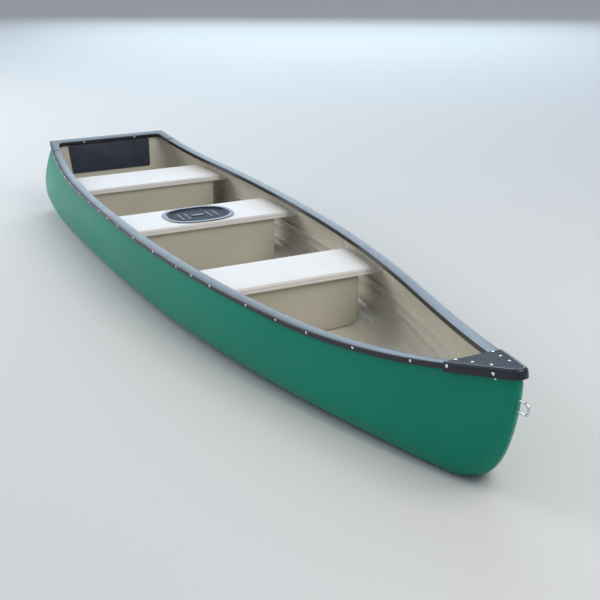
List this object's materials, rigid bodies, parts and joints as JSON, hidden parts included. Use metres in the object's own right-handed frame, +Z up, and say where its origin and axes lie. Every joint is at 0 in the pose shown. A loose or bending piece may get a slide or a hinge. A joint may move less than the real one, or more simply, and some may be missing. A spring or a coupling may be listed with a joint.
{
  "type": "canoe",
  "caption": "Square-stern green canoe with black gunwales, tan liner, box bench seats, an oval seat hatch, a transom motor pad and a bow tow eye.",
  "frame": {"origin": "centre of the bounding box in plan, at the lowest point of the hull's bottom", "axes": "+X towards the bow, +Y to port, +Z up"},
  "size_m": [4.7312, 1.12, 0.5329],
  "materials": {
    "hull_green": "satin",
    "hull_tan": "satin",
    "seat_cream": "satin",
    "seat_tan": "satin",
    "vinyl_black": "satin",
    "pad_board": "matte",
    "plywood": "matte",
    "foam_white": "matte",
    "rail_alloy": "satin",
    "rivet_alloy": "polished",
    "eye_steel": "polished",
    "hatch_black": "satin",
    "gasket_rubber": "matte"
  },
  "bodies": {
    "hull": {"hull_outer_skin": "hull_green", "hull_inner_skin": "hull_tan", "transom_core": "plywood", "gunwale_starboard": "vinyl_black", "gunwale_port": "vinyl_black", "gunwale_core_starboard": "rail_alloy", "gunwale_core_port": "rail_alloy", "gunwale_rivets_starboard": "rivet_alloy", "gunwale_rivets_port": "rivet_alloy", "transom_cap": "vinyl_black", "transom_cap_bolts": "rivet_alloy", "motor_pad_inner": "pad_board", "motor_pad_outer": "pad_board", "motor_pad_screws": "rivet_alloy", "bow_deck_cap": "vinyl_black", "deck_top_rivets": "rivet_alloy", "deck_side_rivets": "rivet_alloy", "stem_rivets": "rivet_alloy", "stern_seat_top": "seat_cream", "stern_seat_box": "seat_tan", "stern_seat_foam": "foam_white", "middle_seat_top": "seat_cream", "middle_seat_box": "seat_tan", "hatch_rim": "hatch_black", "hatch_gasket": "gasket_rubber", "bow_seat_top": "seat_cream", "bow_seat_box": "seat_tan", "bow_seat_foam": "foam_white", "tow_eye": "eye_steel", "tow_eye_washers": "eye_steel", "tow_eye_nuts": "eye_steel", "tow_eye_block": "plywood"},
    "lid": {"hatch_lid": "hatch_black"}
  },
  "joints": [
    {"name": "hatch_lid_lift", "type": "slide", "parent": "hull", "child": "lid", "axis": [0, 0, 1], "range_m": [0, 0.06]}
  ]
}
